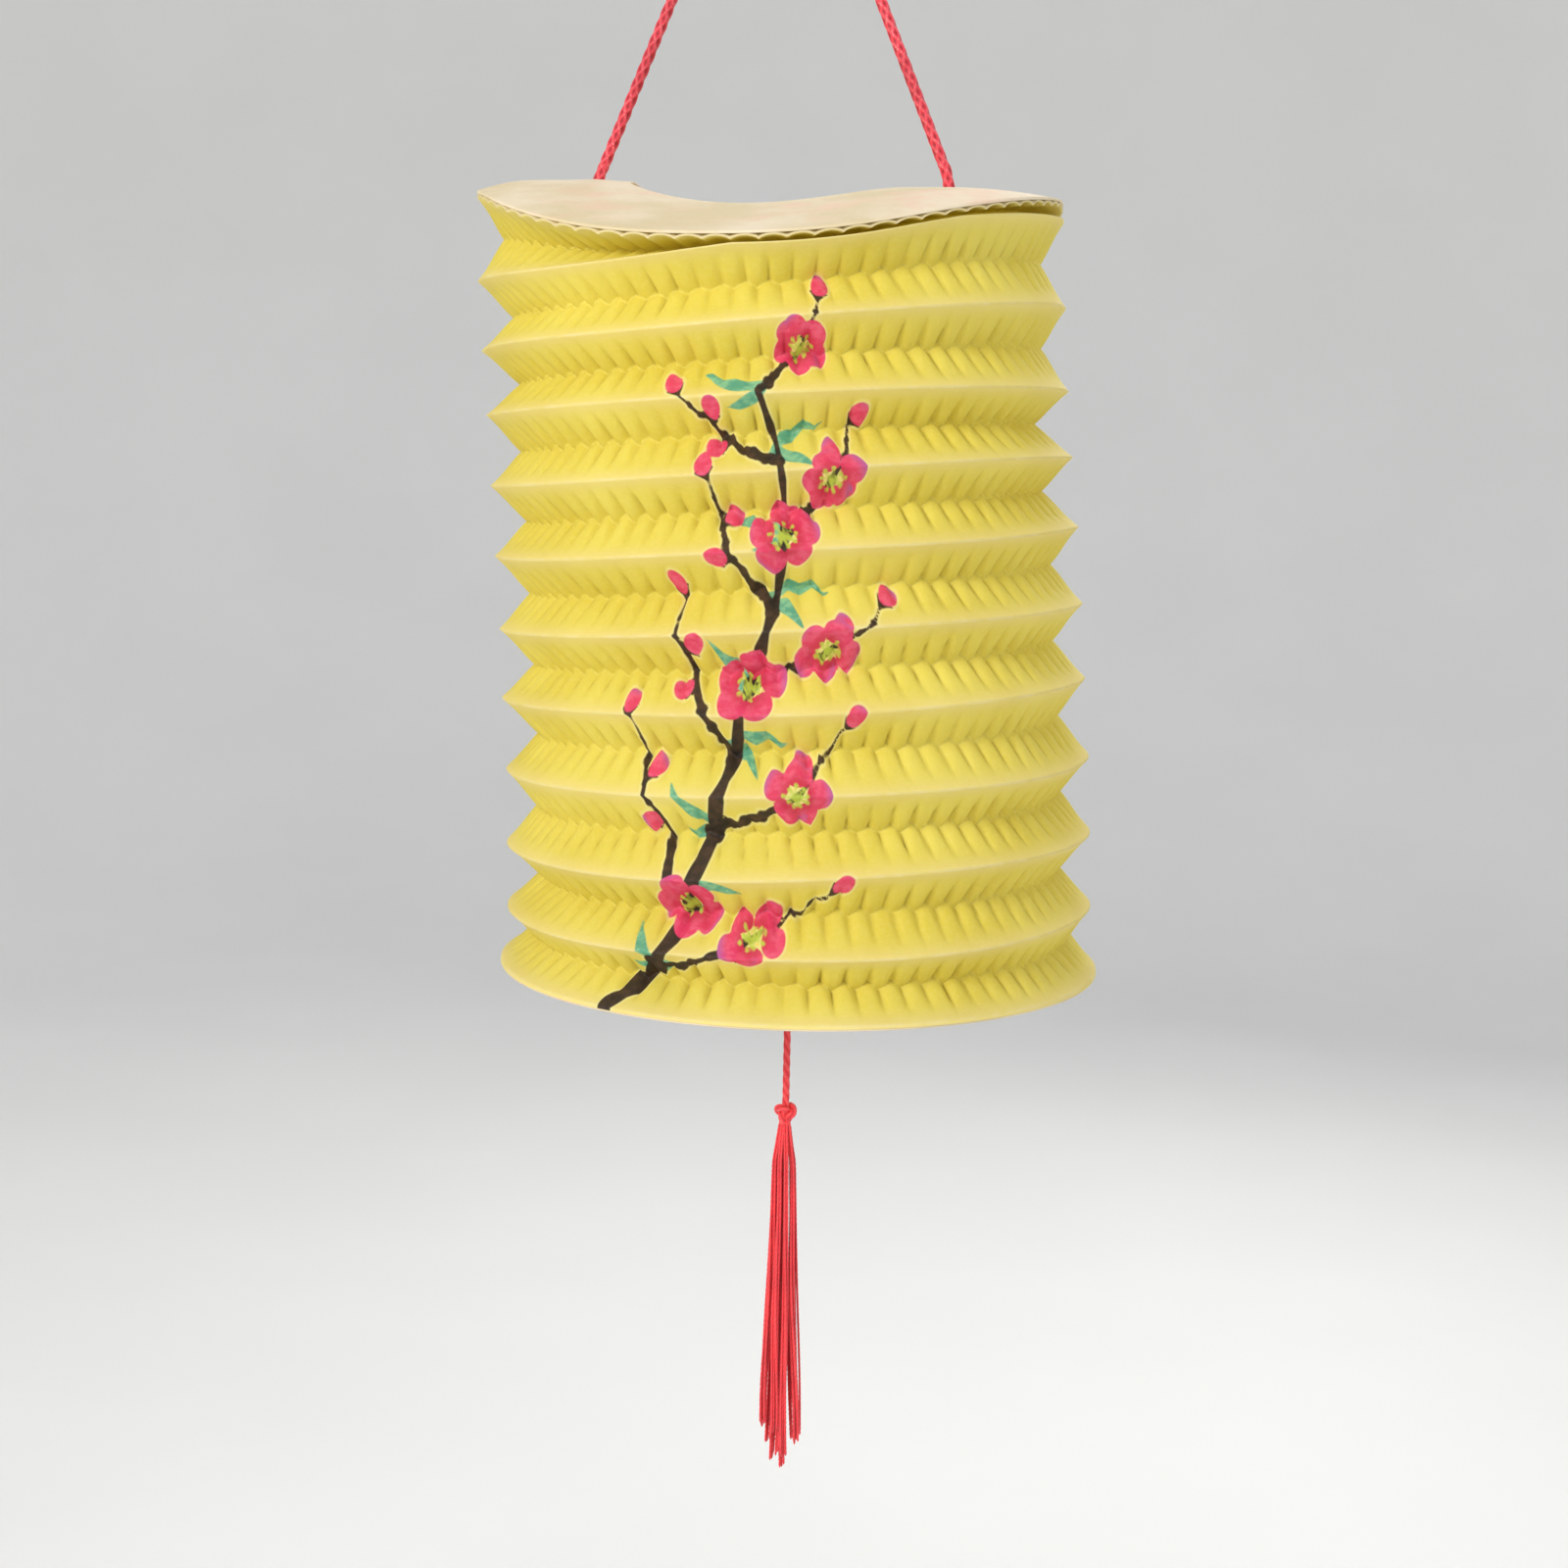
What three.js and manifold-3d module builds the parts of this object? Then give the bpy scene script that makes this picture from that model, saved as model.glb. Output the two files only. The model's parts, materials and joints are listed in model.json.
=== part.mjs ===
// Accordion paper lantern: a pleated paper bellows between a bent card ring and a flat card disc,
// hung from a red braided cord tied into a loop, with a red tassel under the disc.
// Millimetres, +Z up. The origin is the inside top of the hanging loop, where a hook bears.
import * as THREE from "three";
import Module from "manifold-3d";
import { mergeVertices } from "three/addons/utils/BufferGeometryUtils.js";

const wasm = await Module();
wasm.setup();

// ---- Driving dimensions -------------------------------------------------------------------------
const GAP = 0.3; // left between two pieces that touch
const RING_Z = -150; // crest of the card ring's top face
const SEGMENTS = 60; // round the ring and the disc

const cord = { r: 1.5, sides: 8 };
const loop = { bend: 8.2, knotDrop: 28 };
const loopKnot = { r: 4.4, half: 4.8, reach: 5.1 }; // reach: from its middle to a cord's end face
const cordTurn = THREE.MathUtils.degToRad(10.5); // the line through the cord holes, its right end forward
const ring = { r: 79, holeR: 38, card: 1, cordX: 49, cordHoleR: 2.1 };
const ringFold = { front: 21.6, sag: 3, sagWidth: 34, side: 3.4, flatLeft: 64, flatRight: 46 };
const stopper = { r: 3.4, half: 2.6 };
const rockPivotRise = 5; // the cord flexes this far above the card
const rockCut = 1.45; // kept free on each side of that pivot

const bellows = { ridgeR: 78.5, valleyR: 68.8, wall: 1.2, segments: 40 };
const leanShift = 11.8; // how far the disc hangs to the right of the ring's middle
// The bellows hangs unevenly: the drops from the ring's edge to each ridge in turn and to the disc, how far
// each ridge rises at its right end, and how much of the ring's bend the upper ones keep.
const ridgeDrops = [18.3, 21.5, 20, 18.3, 18.9, 19.4, 19.3, 19.8, 19.8, 18.6, 15.2];
const ridgeTilts = [0, 9.9, 7.4, 4.9, 5.6, 5.4, 5.2, 4.2, 3.4, 3.2, 1.8, 0];
const bendShares = [1, 0.22, 0.1, 0, 0, 0, 0, 0, 0, 0, 0, 0];

const disc = { r: 80, card: 1.2, hubR: 12, floorR: 62, holeR: 1.4, cordX: 9.3 };
const thin = { r: 1, sides: 8 }; // the tassel's cord
const thinCut = 0.85;
const swingPivotDrop = 4; // the tassel's cord flexes this far under the disc
const tasselStopper = { r: 2.8, half: 2.2 };
const tasselHead = { z: -402.5, r: 3.3, half: 3.4, neck: 2.4 };
const strand = { r: 0.62, sides: 8, steps: 14 };
const strandRings = [
  { count: 3, topR: 0.92, endR: 1.7, turn: 0.5 },
  { count: 9, topR: 2.6, endR: 4.9, turn: 0 },
];
// How far each strand reaches below the head, the inner three first.
const strandLengths = [93, 90, 87, 84, 86, 90, 87, 82, 79, 81, 88, 85];

const LEVELS = ridgeDrops.length; // level 0 is the ring's edge, then come the ridges, and the disc's edge
const levelHeights = [0];
for (const fall of ridgeDrops) levelHeights.push(levelHeights.at(-1) - fall);
const BASE_Z = RING_Z + levelHeights[LEVELS];

// ---- Materials ----------------------------------------------------------------------------------
const material = (color, roughness) => new THREE.MeshStandardMaterial({ color, roughness, metalness: 0 });
const paperYellow = material(0xf0de62, 0.75);
const cardCream = material(0xf3e6c8, 0.8);
const cordRed = material(0xe8404c, 0.7);
const tasselRed = material(0xdc2c3c, 0.6);

// ---- Helpers ------------------------------------------------------------------------------------
const v3 = (x, y, z) => new THREE.Vector3(x, y, z);

/** A closed solid of revolution about +Z, from [radius, height] points. */
function latheZ(profile, segments) {
  const points = profile.map(([r, z]) => new THREE.Vector2(r, z));
  return new THREE.LatheGeometry(points, segments).rotateX(Math.PI / 2);
}

/** A round cord along a curve, closed at both ends. */
function tube(curve, section, steps) {
  const shape = new THREE.Shape();
  for (let i = 0; i < section.sides; i++) {
    const a = (2 * Math.PI * i) / section.sides;
    const corner = [section.r * Math.cos(a), section.r * Math.sin(a)];
    if (i === 0) shape.moveTo(...corner);
    else shape.lineTo(...corner);
  }
  return new THREE.ExtrudeGeometry(shape, { steps, bevelEnabled: false, extrudePath: curve });
}

/** An egg-shaped knot about its own middle, with an optional round neck that rises from it. */
function knot(size, neckR = 0, neckTop = 0) {
  const arcs = 10;
  const stop = neckR > 0 ? Math.acos(neckR / size.r) : Math.PI / 2;
  const profile = [[0, -size.half]];
  for (let i = 1; i <= arcs; i++) {
    const a = -Math.PI / 2 + ((stop + Math.PI / 2) * i) / arcs;
    profile.push([size.r * Math.cos(a), size.half * Math.sin(a)]);
  }
  if (neckR > 0) profile.push([neckR, neckTop], [0, neckTop]);
  else profile[arcs] = [0, size.half];
  return latheZ(profile, 16);
}

/** Moves every vertex of a geometry by a function of its place. */
function warp(geometry, move) {
  const at = geometry.attributes.position;
  const p = new THREE.Vector3();
  for (let i = 0; i < at.count; i++) {
    move(p.fromBufferAttribute(at, i));
    at.setXYZ(i, p.x, p.y, p.z);
  }
  return geometry;
}

/** A closed geometry as a solid that can be cut. */
function solidOf(geometry) {
  const bare = geometry.clone();
  bare.deleteAttribute("normal");
  bare.deleteAttribute("uv");
  const merged = mergeVertices(bare, 1e-4);
  return new wasm.Manifold(
    new wasm.Mesh({
      numProp: 3,
      vertProperties: new Float32Array(merged.attributes.position.array),
      triVerts: new Uint32Array(merged.index.array),
    }),
  );
}

/** A geometry with round holes drilled along Z. */
function drilled(geometry, holes) {
  const depth = 40;
  let solid = solidOf(geometry);
  for (const { x, r } of holes) {
    const drill = new THREE.CylinderGeometry(r, r, depth, 24).rotateX(Math.PI / 2).translate(x, 0, 0);
    solid = solid.subtract(solidOf(drill));
  }
  const mesh = solid.getMesh();
  const cut = new THREE.BufferGeometry();
  cut.setAttribute("position", new THREE.BufferAttribute(new Float32Array(mesh.vertProperties), 3));
  cut.setIndex(new THREE.BufferAttribute(new Uint32Array(mesh.triVerts), 1));
  cut.computeVertexNormals();
  return cut;
}

const lantern = new THREE.Group();
const corded = new THREE.Group(); // the cord and the ring, on the line through the cord holes
corded.rotation.z = -cordTurn;
lantern.add(corded);

function add(group, name, geometry, look, x = 0, z = 0) {
  const mesh = new THREE.Mesh(geometry, look);
  mesh.name = name;
  mesh.position.set(x, 0, z);
  group.add(mesh);
}

// ---- Hanging cord: one cord, from the left hole through the knot, round the loop and back ---------
const knotZ = -loop.knotDrop;
const loopMidZ = cord.r - loop.bend; // the cord's inside top touches the origin
const legLean = Math.asin(loop.bend / (loopMidZ - knotZ)); // a leg's angle from the vertical
const rockZ = RING_Z + rockPivotRise;
const cordSlope = ring.cordX / (knotZ - RING_Z); // sideways per height, straight from the knot to a hole

function loopCurve() {
  const points = [v3(loopKnot.reach * Math.sin(legLean), 0, knotZ + loopKnot.reach * Math.cos(legLean))];
  const legLength = Math.sqrt((loopMidZ - knotZ) ** 2 - loop.bend ** 2);
  const halfway = (loopKnot.reach + legLength) / 2;
  points.push(v3(halfway * Math.sin(legLean), 0, knotZ + halfway * Math.cos(legLean)));
  const arcSteps = 16;
  for (let i = 0; i <= arcSteps; i++) {
    const a = -legLean + ((Math.PI + 2 * legLean) * i) / arcSteps;
    points.push(v3(loop.bend * Math.cos(a), 0, loopMidZ + loop.bend * Math.sin(a)));
  }
  points.push(v3(-points[1].x, 0, points[1].z), v3(-points[0].x, 0, points[0].z));
  return new THREE.CatmullRomCurve3(points);
}

function strandUp(side) {
  const low = v3(side * (ring.cordX - cordSlope * rockPivotRise), 0, rockZ);
  const high = v3(0, 0, knotZ);
  const along = high.clone().sub(low).normalize();
  const start = low.clone().addScaledVector(along, rockCut);
  const end = high.clone().addScaledVector(along, -loopKnot.reach);
  return new THREE.LineCurve3(start, end);
}

add(corded, "hanging_loop", tube(loopCurve(), cord, 36), cordRed);
add(corded, "loop_knot", knot(loopKnot), cordRed, 0, knotZ);
add(corded, "hanging_cord_left", tube(strandUp(-1), cord, 16), cordRed);
add(corded, "hanging_cord_right", tube(strandUp(1), cord, 16), cordRed);

// ---- Card ring: hung by its two cord holes, it bends down to the front and back and sags between them --
/** How far the card hangs below its crest, x being along the line through the cord holes. */
function ringBend(x, y) {
  const out = Math.min(1, Math.abs(y) / ring.r);
  const sag = 4 * out * (1 - out) * Math.exp(-((x / ringFold.sagWidth) ** 2));
  const flat = x < 0 ? ringFold.flatLeft : ringFold.flatRight;
  const sideways = Math.max(0, Math.abs(x) - flat) / (ring.r - flat);
  return -ringFold.front * out ** 1.6 - ringFold.sag * sag - ringFold.side * sideways ** 2;
}

function ringGeometry() {
  const rows = 8;
  const radii = Array.from({ length: rows + 1 }, (_, i) => ring.holeR + ((ring.r - ring.holeR) * i) / rows);
  const under = radii.map((r) => [r, -ring.card]);
  const over = radii.reverse().map((r) => [r, 0]);
  const flat = latheZ([...under, ...over, under[0]], SEGMENTS);
  const bent = warp(flat, (p) => p.setZ(p.z + ringBend(p.x, p.y)));
  return drilled(bent, [-ring.cordX, ring.cordX].map((x) => ({ x, r: ring.cordHoleR })));
}

add(corded, "top_ring", ringGeometry(), cardCream, 0, RING_Z);

const stopperZ = RING_Z - ring.card - GAP - stopper.half;
for (const [name, side] of [["stopper_knot_left", -1], ["stopper_knot_right", 1]]) {
  const neckTop = rockZ - rockCut - stopperZ;
  const neckLean = side * cordSlope * (rockPivotRise - rockCut);
  const tied = knot(stopper, cord.r, neckTop);
  warp(tied, (p) => p.setX(p.x - (p.z > stopper.half ? neckLean : 0)));
  add(corded, name, tied, cordRed, side * ring.cordX, stopperZ);
}

// ---- Bellows: it hangs lower on the left and drifts to the right on its way down -------------------
/** A list's value at a level, which may lie halfway between two ridges. */
function atLevel(list, level) {
  const below = Math.min(Math.floor(level), LEVELS - 1);
  return list[below] + (list[below + 1] - list[below]) * (level - below);
}

/** The card's bend under a point of the bellows, whose X isn't along the cord holes. */
function bendUnder(x, y) {
  const along = x * Math.cos(cordTurn) - y * Math.sin(cordTurn);
  const across = x * Math.sin(cordTurn) + y * Math.cos(cordTurn);
  return ringBend(along, across);
}

/** Puts a point of the straight bellows, which has its level as its height, in its place. */
function hang(p) {
  const level = Math.abs(Math.round(2 * p.z) / 2);
  const top = level === 0 ? -ring.card - GAP : 0;
  const foot = level === LEVELS ? GAP : 0;
  const tilt = (atLevel(ridgeTilts, level) * p.x) / bellows.ridgeR;
  const bend = atLevel(bendShares, level) * bendUnder(p.x, p.y);
  const drift = leanShift * Math.sin((Math.PI / 2) * (level / LEVELS)) ** 1.5;
  p.set(p.x + drift, p.y, atLevel(levelHeights, level) + top + foot + tilt + bend);
}

function bellowsGeometry() {
  const outer = [[bellows.ridgeR, 0]];
  for (let i = 1; i < LEVELS; i++) outer.push([bellows.ridgeR, i], [bellows.valleyR, i + 0.5]);
  outer.push([bellows.ridgeR, LEVELS]);
  const inner = outer.map(([r, level]) => [r - bellows.wall, level]);
  const profile = [...outer.reverse(), ...inner, outer[0]];
  return warp(latheZ(profile, bellows.segments), hang);
}

add(lantern, "accordion_paper", bellowsGeometry(), paperYellow, 0, RING_Z);

// ---- Bottom disc, with the knot of the tassel's cord inside it --------------------------------------
function discGeometry() {
  const radii = [0, disc.hubR, disc.floorR, disc.r];
  const under = radii.map((r) => [r, -disc.card]);
  const over = radii.reverse().map((r) => [r, 0]);
  return drilled(latheZ([...under, ...over], SEGMENTS), [{ x: disc.cordX - leanShift, r: disc.holeR }]);
}

add(lantern, "bottom_disc", discGeometry(), cardCream, leanShift, BASE_Z);

const swingZ = BASE_Z - disc.card - swingPivotDrop;
const headPivotZ = tasselHead.z + tasselHead.half + tasselHead.neck;
const tasselStopperZ = BASE_Z + GAP + tasselStopper.half;
const upsideDown = knot(tasselStopper, thin.r, tasselStopperZ - swingZ - thinCut).rotateX(Math.PI);
add(lantern, "tassel_stopper_knot", upsideDown, cordRed, disc.cordX, tasselStopperZ);

// ---- Tassel ------------------------------------------------------------------------------------------
const tasselCordLine = new THREE.LineCurve3(v3(0, 0, swingZ - thinCut), v3(0, 0, headPivotZ + thinCut));
add(lantern, "tassel_cord", tube(tasselCordLine, thin, 8), cordRed, disc.cordX);

const headNeckTop = headPivotZ - thinCut - tasselHead.z;
add(lantern, "tassel_head_knot", knot(tasselHead, thin.r, headNeckTop), tasselRed, disc.cordX, tasselHead.z);

/** One strand, from under the head outwards and down. */
function strandCurve(place, angle, length) {
  const points = [];
  const pieces = 8;
  for (let i = 0; i <= pieces; i++) {
    const t = i / pieces;
    const r = place.topR + (place.endR - place.topR) * t ** 1.4;
    const a = angle + 0.12 * t;
    points.push(v3(r * Math.cos(a), r * Math.sin(a), -length * t));
  }
  return new THREE.CatmullRomCurve3(points);
}

const strandTopZ = tasselHead.z - tasselHead.half - GAP;
let strandNumber = 0;
for (const place of strandRings) {
  for (let i = 0; i < place.count; i++) {
    const angle = (2 * Math.PI * (i + place.turn)) / place.count;
    const curve = strandCurve(place, angle, strandLengths[strandNumber]);
    strandNumber += 1;
    const name = `tassel_strand_${String(strandNumber).padStart(2, "0")}`;
    add(lantern, name, tube(curve, strand, strand.steps), tasselRed, disc.cordX, strandTopZ);
  }
}

export default lantern;
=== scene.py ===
"""An accordion paper lantern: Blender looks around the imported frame.

Lengths below are millimetres in the row frame (+Z up, the origin at the inside top of the hanging loop)
and become metres when a mesh is made.
"""

import json
import math

import bpy
import numpy as np
from mathutils import Matrix, Vector
from mathutils.geometry import delaunay_2d_cdt


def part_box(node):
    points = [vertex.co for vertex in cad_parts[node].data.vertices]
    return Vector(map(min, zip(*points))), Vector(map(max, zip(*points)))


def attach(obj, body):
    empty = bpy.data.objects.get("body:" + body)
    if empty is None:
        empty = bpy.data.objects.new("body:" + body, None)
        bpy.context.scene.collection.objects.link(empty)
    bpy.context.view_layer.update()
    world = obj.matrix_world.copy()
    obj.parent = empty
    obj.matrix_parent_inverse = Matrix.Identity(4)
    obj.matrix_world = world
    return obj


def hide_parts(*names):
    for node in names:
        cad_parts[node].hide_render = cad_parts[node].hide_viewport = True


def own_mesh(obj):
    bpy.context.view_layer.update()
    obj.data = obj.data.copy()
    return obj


MM = 0.001

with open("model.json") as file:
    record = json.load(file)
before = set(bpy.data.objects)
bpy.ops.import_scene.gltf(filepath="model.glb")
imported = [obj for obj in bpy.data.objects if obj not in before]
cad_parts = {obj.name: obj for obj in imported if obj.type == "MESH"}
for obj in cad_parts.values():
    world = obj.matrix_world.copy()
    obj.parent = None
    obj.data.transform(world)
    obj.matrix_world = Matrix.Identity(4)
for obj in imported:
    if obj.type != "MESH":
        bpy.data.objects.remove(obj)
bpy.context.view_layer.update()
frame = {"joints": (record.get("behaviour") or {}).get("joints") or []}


# ---- Places taken from the frame -----------------------------------------------------------------
def node_box(node):
    """A CAD node's lowest and highest corner in millimetres."""
    low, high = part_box(node)
    return np.array(low) / MM, np.array(high) / MM


def joint(name):
    return next(j for j in frame["joints"] if j["name"] == name)


def pivot(name):
    return np.array(joint(name)["pos_m"]) / MM


RING_LOW, RING_HIGH = node_box("top_ring")
RING_Z = RING_HIGH[2]  # the crest of the card ring's top face
RING_R = (RING_HIGH[1] - RING_LOW[1]) / 2
DISC_LOW, DISC_HIGH = node_box("bottom_disc")
DISC_Z = DISC_HIGH[2]
DISC_R = (DISC_HIGH[1] - DISC_LOW[1]) / 2
DISC_X = (DISC_HIGH[0] + DISC_LOW[0]) / 2
KNOT_LOW, KNOT_HIGH = node_box("loop_knot")
KNOT_Z = (KNOT_LOW[2] + KNOT_HIGH[2]) / 2
ROCK = pivot("lantern_rock")
LINE_PIVOT = pivot("tassel_cord_swing")
HEAD_PIVOT = pivot("tassel_swing")
HEAD_LOW, _ = node_box("tassel_head_knot")
ROCK_AXIS = joint("lantern_rock")["axis"]
CORD_TURN = math.atan2(ROCK_AXIS[1], ROCK_AXIS[0])  # the line through the cord holes lies off X

# ---- Sizes repeated from the part's design -------------------------------------------------------
CARD = 1.0
RING_HOLE_R = 38.0
CORD_HOLE_X = 49.0
CORD_R = 1.5
CORD_SLOPE = CORD_HOLE_X / (KNOT_Z - RING_Z)  # sideways per height, straight from the knot to a hole
BRAID_R = 1.07 * CORD_R  # to the tops of its plies
LINE_R = 1.0
RING_FOLD, RING_SAG, SAG_WIDTH = 21.6, 3.0, 34.0
RING_SIDE, FLAT_LEFT, FLAT_RIGHT = 3.4, 64.0, 46.0
RING_TWIST, TWIST_WIDTH = 1.3, 30.0  # the crest is a little higher at the left cord than at the right
GLUE_BAND = 7.0  # paper glued flat under the card's rim
RIDGE_R = 78.5
RIDGE_DROPS = (18.3, 21.5, 20, 18.3, 18.9, 19.4, 19.3, 19.8, 19.8, 18.6, 15.2)
RIDGE_TILTS = (0, 9.9, 7.4, 4.9, 5.6, 5.4, 5.2, 4.2, 3.4, 3.2, 1.8, 0)
BENT_SHARES = (1.0, 0.24, 0.1, 0, 0, 0, 0, 0, 0, 0, 0, 0)
LEVELS = len(RIDGE_DROPS)  # level 0 is the ring's edge and level 11 the disc's
LOOP_BEND = 8.2

# ---- The paper's folds ---------------------------------------------------------------------------
FLUTES = 78  # fine vertical flutes round the bellows
FLUTE_DEPTH = 0.92
COLUMNS = 10  # mesh columns across a flute
ROWS = 14  # mesh rows down a facet
FACET = 13.9  # from a ridge to a valley along the paper
FIRST_FACET = 14.0
LAST_FACET = 11.8
EDGE_WAVE = 1.1  # how far the fluted top edge swings down from the card
LIP = 0.45  # the paper's edge seen under the card
HEM = 0.75  # how far the paper laps down over the disc's edge
SEAM_ANGLE = math.radians(62)  # where the paper's ends are glued, at the back
SEAM_LAP = 8.0

WOBBLE_WAVES = range(2, 6)  # how many waves a wobble has round the lantern
rng = np.random.default_rng(7)


# ---- Mesh helpers --------------------------------------------------------------------------------
def make_mesh(name, vertices, faces, look, smooth=True):
    """A mesh object from millimetre points."""
    mesh = bpy.data.meshes.new(name)
    mesh.from_pydata((np.asarray(vertices) * MM).tolist(), [], faces)
    mesh.update()
    mesh.materials.append(look)
    mesh.polygons.foreach_set("use_smooth", [smooth] * len(mesh.polygons))
    made = bpy.data.objects.new(name, mesh)
    bpy.context.scene.collection.objects.link(made)
    return made


def point_values(piece, name, values):
    """Stores one number per vertex for the materials to read."""
    layer = piece.data.attributes.new(name, "FLOAT", "POINT")
    layer.data.foreach_set("value", np.asarray(values, dtype=np.float32).ravel())


def grid_faces(rows, columns):
    """Quads of a grid of rows by columns, closed across its columns."""
    faces = []
    for i in range(rows - 1):
        for j in range(columns):
            k = (j + 1) % columns
            faces.append((i * columns + j, i * columns + k, (i + 1) * columns + k, (i + 1) * columns + j))
    return faces


def smoothstep(low, high, x):
    t = np.clip((x - low) / (high - low), 0, 1)
    return t * t * (3 - 2 * t)


def wander(angle, size):
    """A smooth closed wobble round a circle, about size high."""
    total = np.zeros_like(angle)
    for k in WOBBLE_WAVES:
        total += rng.normal() * np.cos(k * angle + rng.uniform(0, 2 * math.pi)) / k
    return size * total


def turned(points):
    """Points along the cord holes' line, turned into the row frame."""
    c, s = math.cos(CORD_TURN), math.sin(CORD_TURN)
    x, y, z = np.asarray(points, float).T
    return np.column_stack([x * c - y * s, x * s + y * c, z])


def ride_and_replace(piece, body, slot, *nodes):
    """Sets the body a piece moves with and hides the CAD nodes it stands for. The slot argument is not used.
    """
    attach(piece, body)
    if nodes:
        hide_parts(*nodes)


# ---- Node helpers --------------------------------------------------------------------------------
class Look:
    """A material being built, with short ways to add its nodes."""

    def __init__(self, name):
        self.material = bpy.data.materials.new(name)
        self.material.use_nodes = True
        self.tree = self.material.node_tree
        self.tree.nodes.clear()
        self.output = self.node("ShaderNodeOutputMaterial")

    def node(self, kind, **settings):
        made = self.tree.nodes.new(kind)
        for key, value in settings.items():
            setattr(made, key, value)
        return made

    def feed(self, socket, value):
        """Links a socket to another, or sets its value."""
        if isinstance(value, bpy.types.NodeSocket):
            self.tree.links.new(value, socket)
        elif hasattr(value, "__len__") and len(value) == 3 and socket.type == "RGBA":
            socket.default_value = (*value, 1.0)
        else:
            socket.default_value = value

    def attribute(self, name):
        return self.node("ShaderNodeAttribute", attribute_name=name).outputs["Fac"]

    def math(self, operation, *values):
        made = self.node("ShaderNodeMath", operation=operation)
        for socket, value in zip(made.inputs, values):
            self.feed(socket, value)
        return made.outputs[0]

    def span(self, value, low, high, out_low=0.0, out_high=1.0):
        """A value's place between two limits, smoothed and clamped."""
        made = self.node("ShaderNodeMapRange", interpolation_type="SMOOTHSTEP")
        limits = (value, low, high, out_low, out_high)
        for socket, limit in zip(made.inputs, limits):
            self.feed(socket, limit)
        return made.outputs[0]

    def mix(self, share, first, second):
        made = self.node("ShaderNodeMix", data_type="RGBA")
        self.feed(made.inputs[0], share)
        self.feed(made.inputs[6], first)
        self.feed(made.inputs[7], second)
        return made.outputs[2]

    def noise(self, scale, detail=4.0, roughness=0.55, stretch=(1, 1, 1)):
        """Noise over the row frame, in features per metre."""
        place = self.node("ShaderNodeTexCoord").outputs["Object"]
        mapping = self.node("ShaderNodeMapping")
        self.feed(mapping.inputs["Vector"], place)
        self.feed(mapping.inputs["Scale"], stretch)
        made = self.node("ShaderNodeTexNoise")
        self.feed(made.inputs["Vector"], mapping.outputs[0])
        self.feed(made.inputs["Scale"], scale)
        self.feed(made.inputs["Detail"], detail)
        self.feed(made.inputs["Roughness"], roughness)
        return made.outputs["Fac"]

    def bump(self, height, strength, distance, under=None):
        """A bumped normal, on top of another one if under is given."""
        made = self.node("ShaderNodeBump")
        self.feed(made.inputs["Strength"], strength)
        self.feed(made.inputs["Distance"], distance)
        self.feed(made.inputs["Height"], height)
        if under is not None:
            self.feed(made.inputs["Normal"], under)
        return made.outputs[0]

    def principled(self, colour, roughness, normal=None, **sockets):
        made = self.node("ShaderNodeBsdfPrincipled")
        self.feed(made.inputs["Base Color"], colour)
        self.feed(made.inputs["Roughness"], roughness)
        if normal is not None:
            self.feed(made.inputs["Normal"], normal)
        for name, value in sockets.items():
            self.feed(made.inputs[name.replace("_", " ")], value)
        return made.outputs[0]

    def finish(self, shader):
        self.tree.links.new(shader, self.output.inputs["Surface"])
        return self.material


# ---- Colours -------------------------------------------------------------------------------------
PAPER_DEEP, PAPER_PALE, PAPER_FIBRE = (0.79, 0.665, 0.080), (0.86, 0.755, 0.130), (0.93, 0.84, 0.33)
# the first colour here is painted shade for the flute creases
# the second colour here is a painted highlight for the ridges and the hem
CREASE_SHADE, EDGE_HIGHLIGHT, WORN_FOLD = (0.46, 0.33, 0.03), (0.95, 0.80, 0.42), (0.95, 0.86, 0.60)
SEAM_GLUE, CUT_EDGE, INK_HALO = (0.50, 0.36, 0.05), (0.78, 0.66, 0.42), (0.95, 0.88, 0.42)
PETAL_TIP, PETAL_ROOT, STAMEN = (0.50, 0.14, 0.45), (0.58, 0.012, 0.05), (0.55, 0.68, 0.08)
INKS = (
    # the layer and its darkest and lightest ink, in the order they are printed
    ("ink_leaf", (0.10, 0.40, 0.27), (0.26, 0.60, 0.36)),
    ("ink_wood", (0.020, 0.008, 0.006), (0.058, 0.024, 0.014)),
    ("ink_petal", (0.82, 0.045, 0.15), (0.88, 0.11, 0.24)),
)
CARD_DEEP, CARD_PALE = (0.64, 0.53, 0.32), (0.75, 0.64, 0.47)
CARD_PINK, CARD_FIBRE = (0.76, 0.52, 0.38), (0.55, 0.44, 0.27)
FLOOR_DEEP, FLOOR_PALE = (0.80, 0.80, 0.79), (0.82, 0.82, 0.81)
THROUGH_SHARE = 0.3  # the share of the paper's light that comes through it


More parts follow.
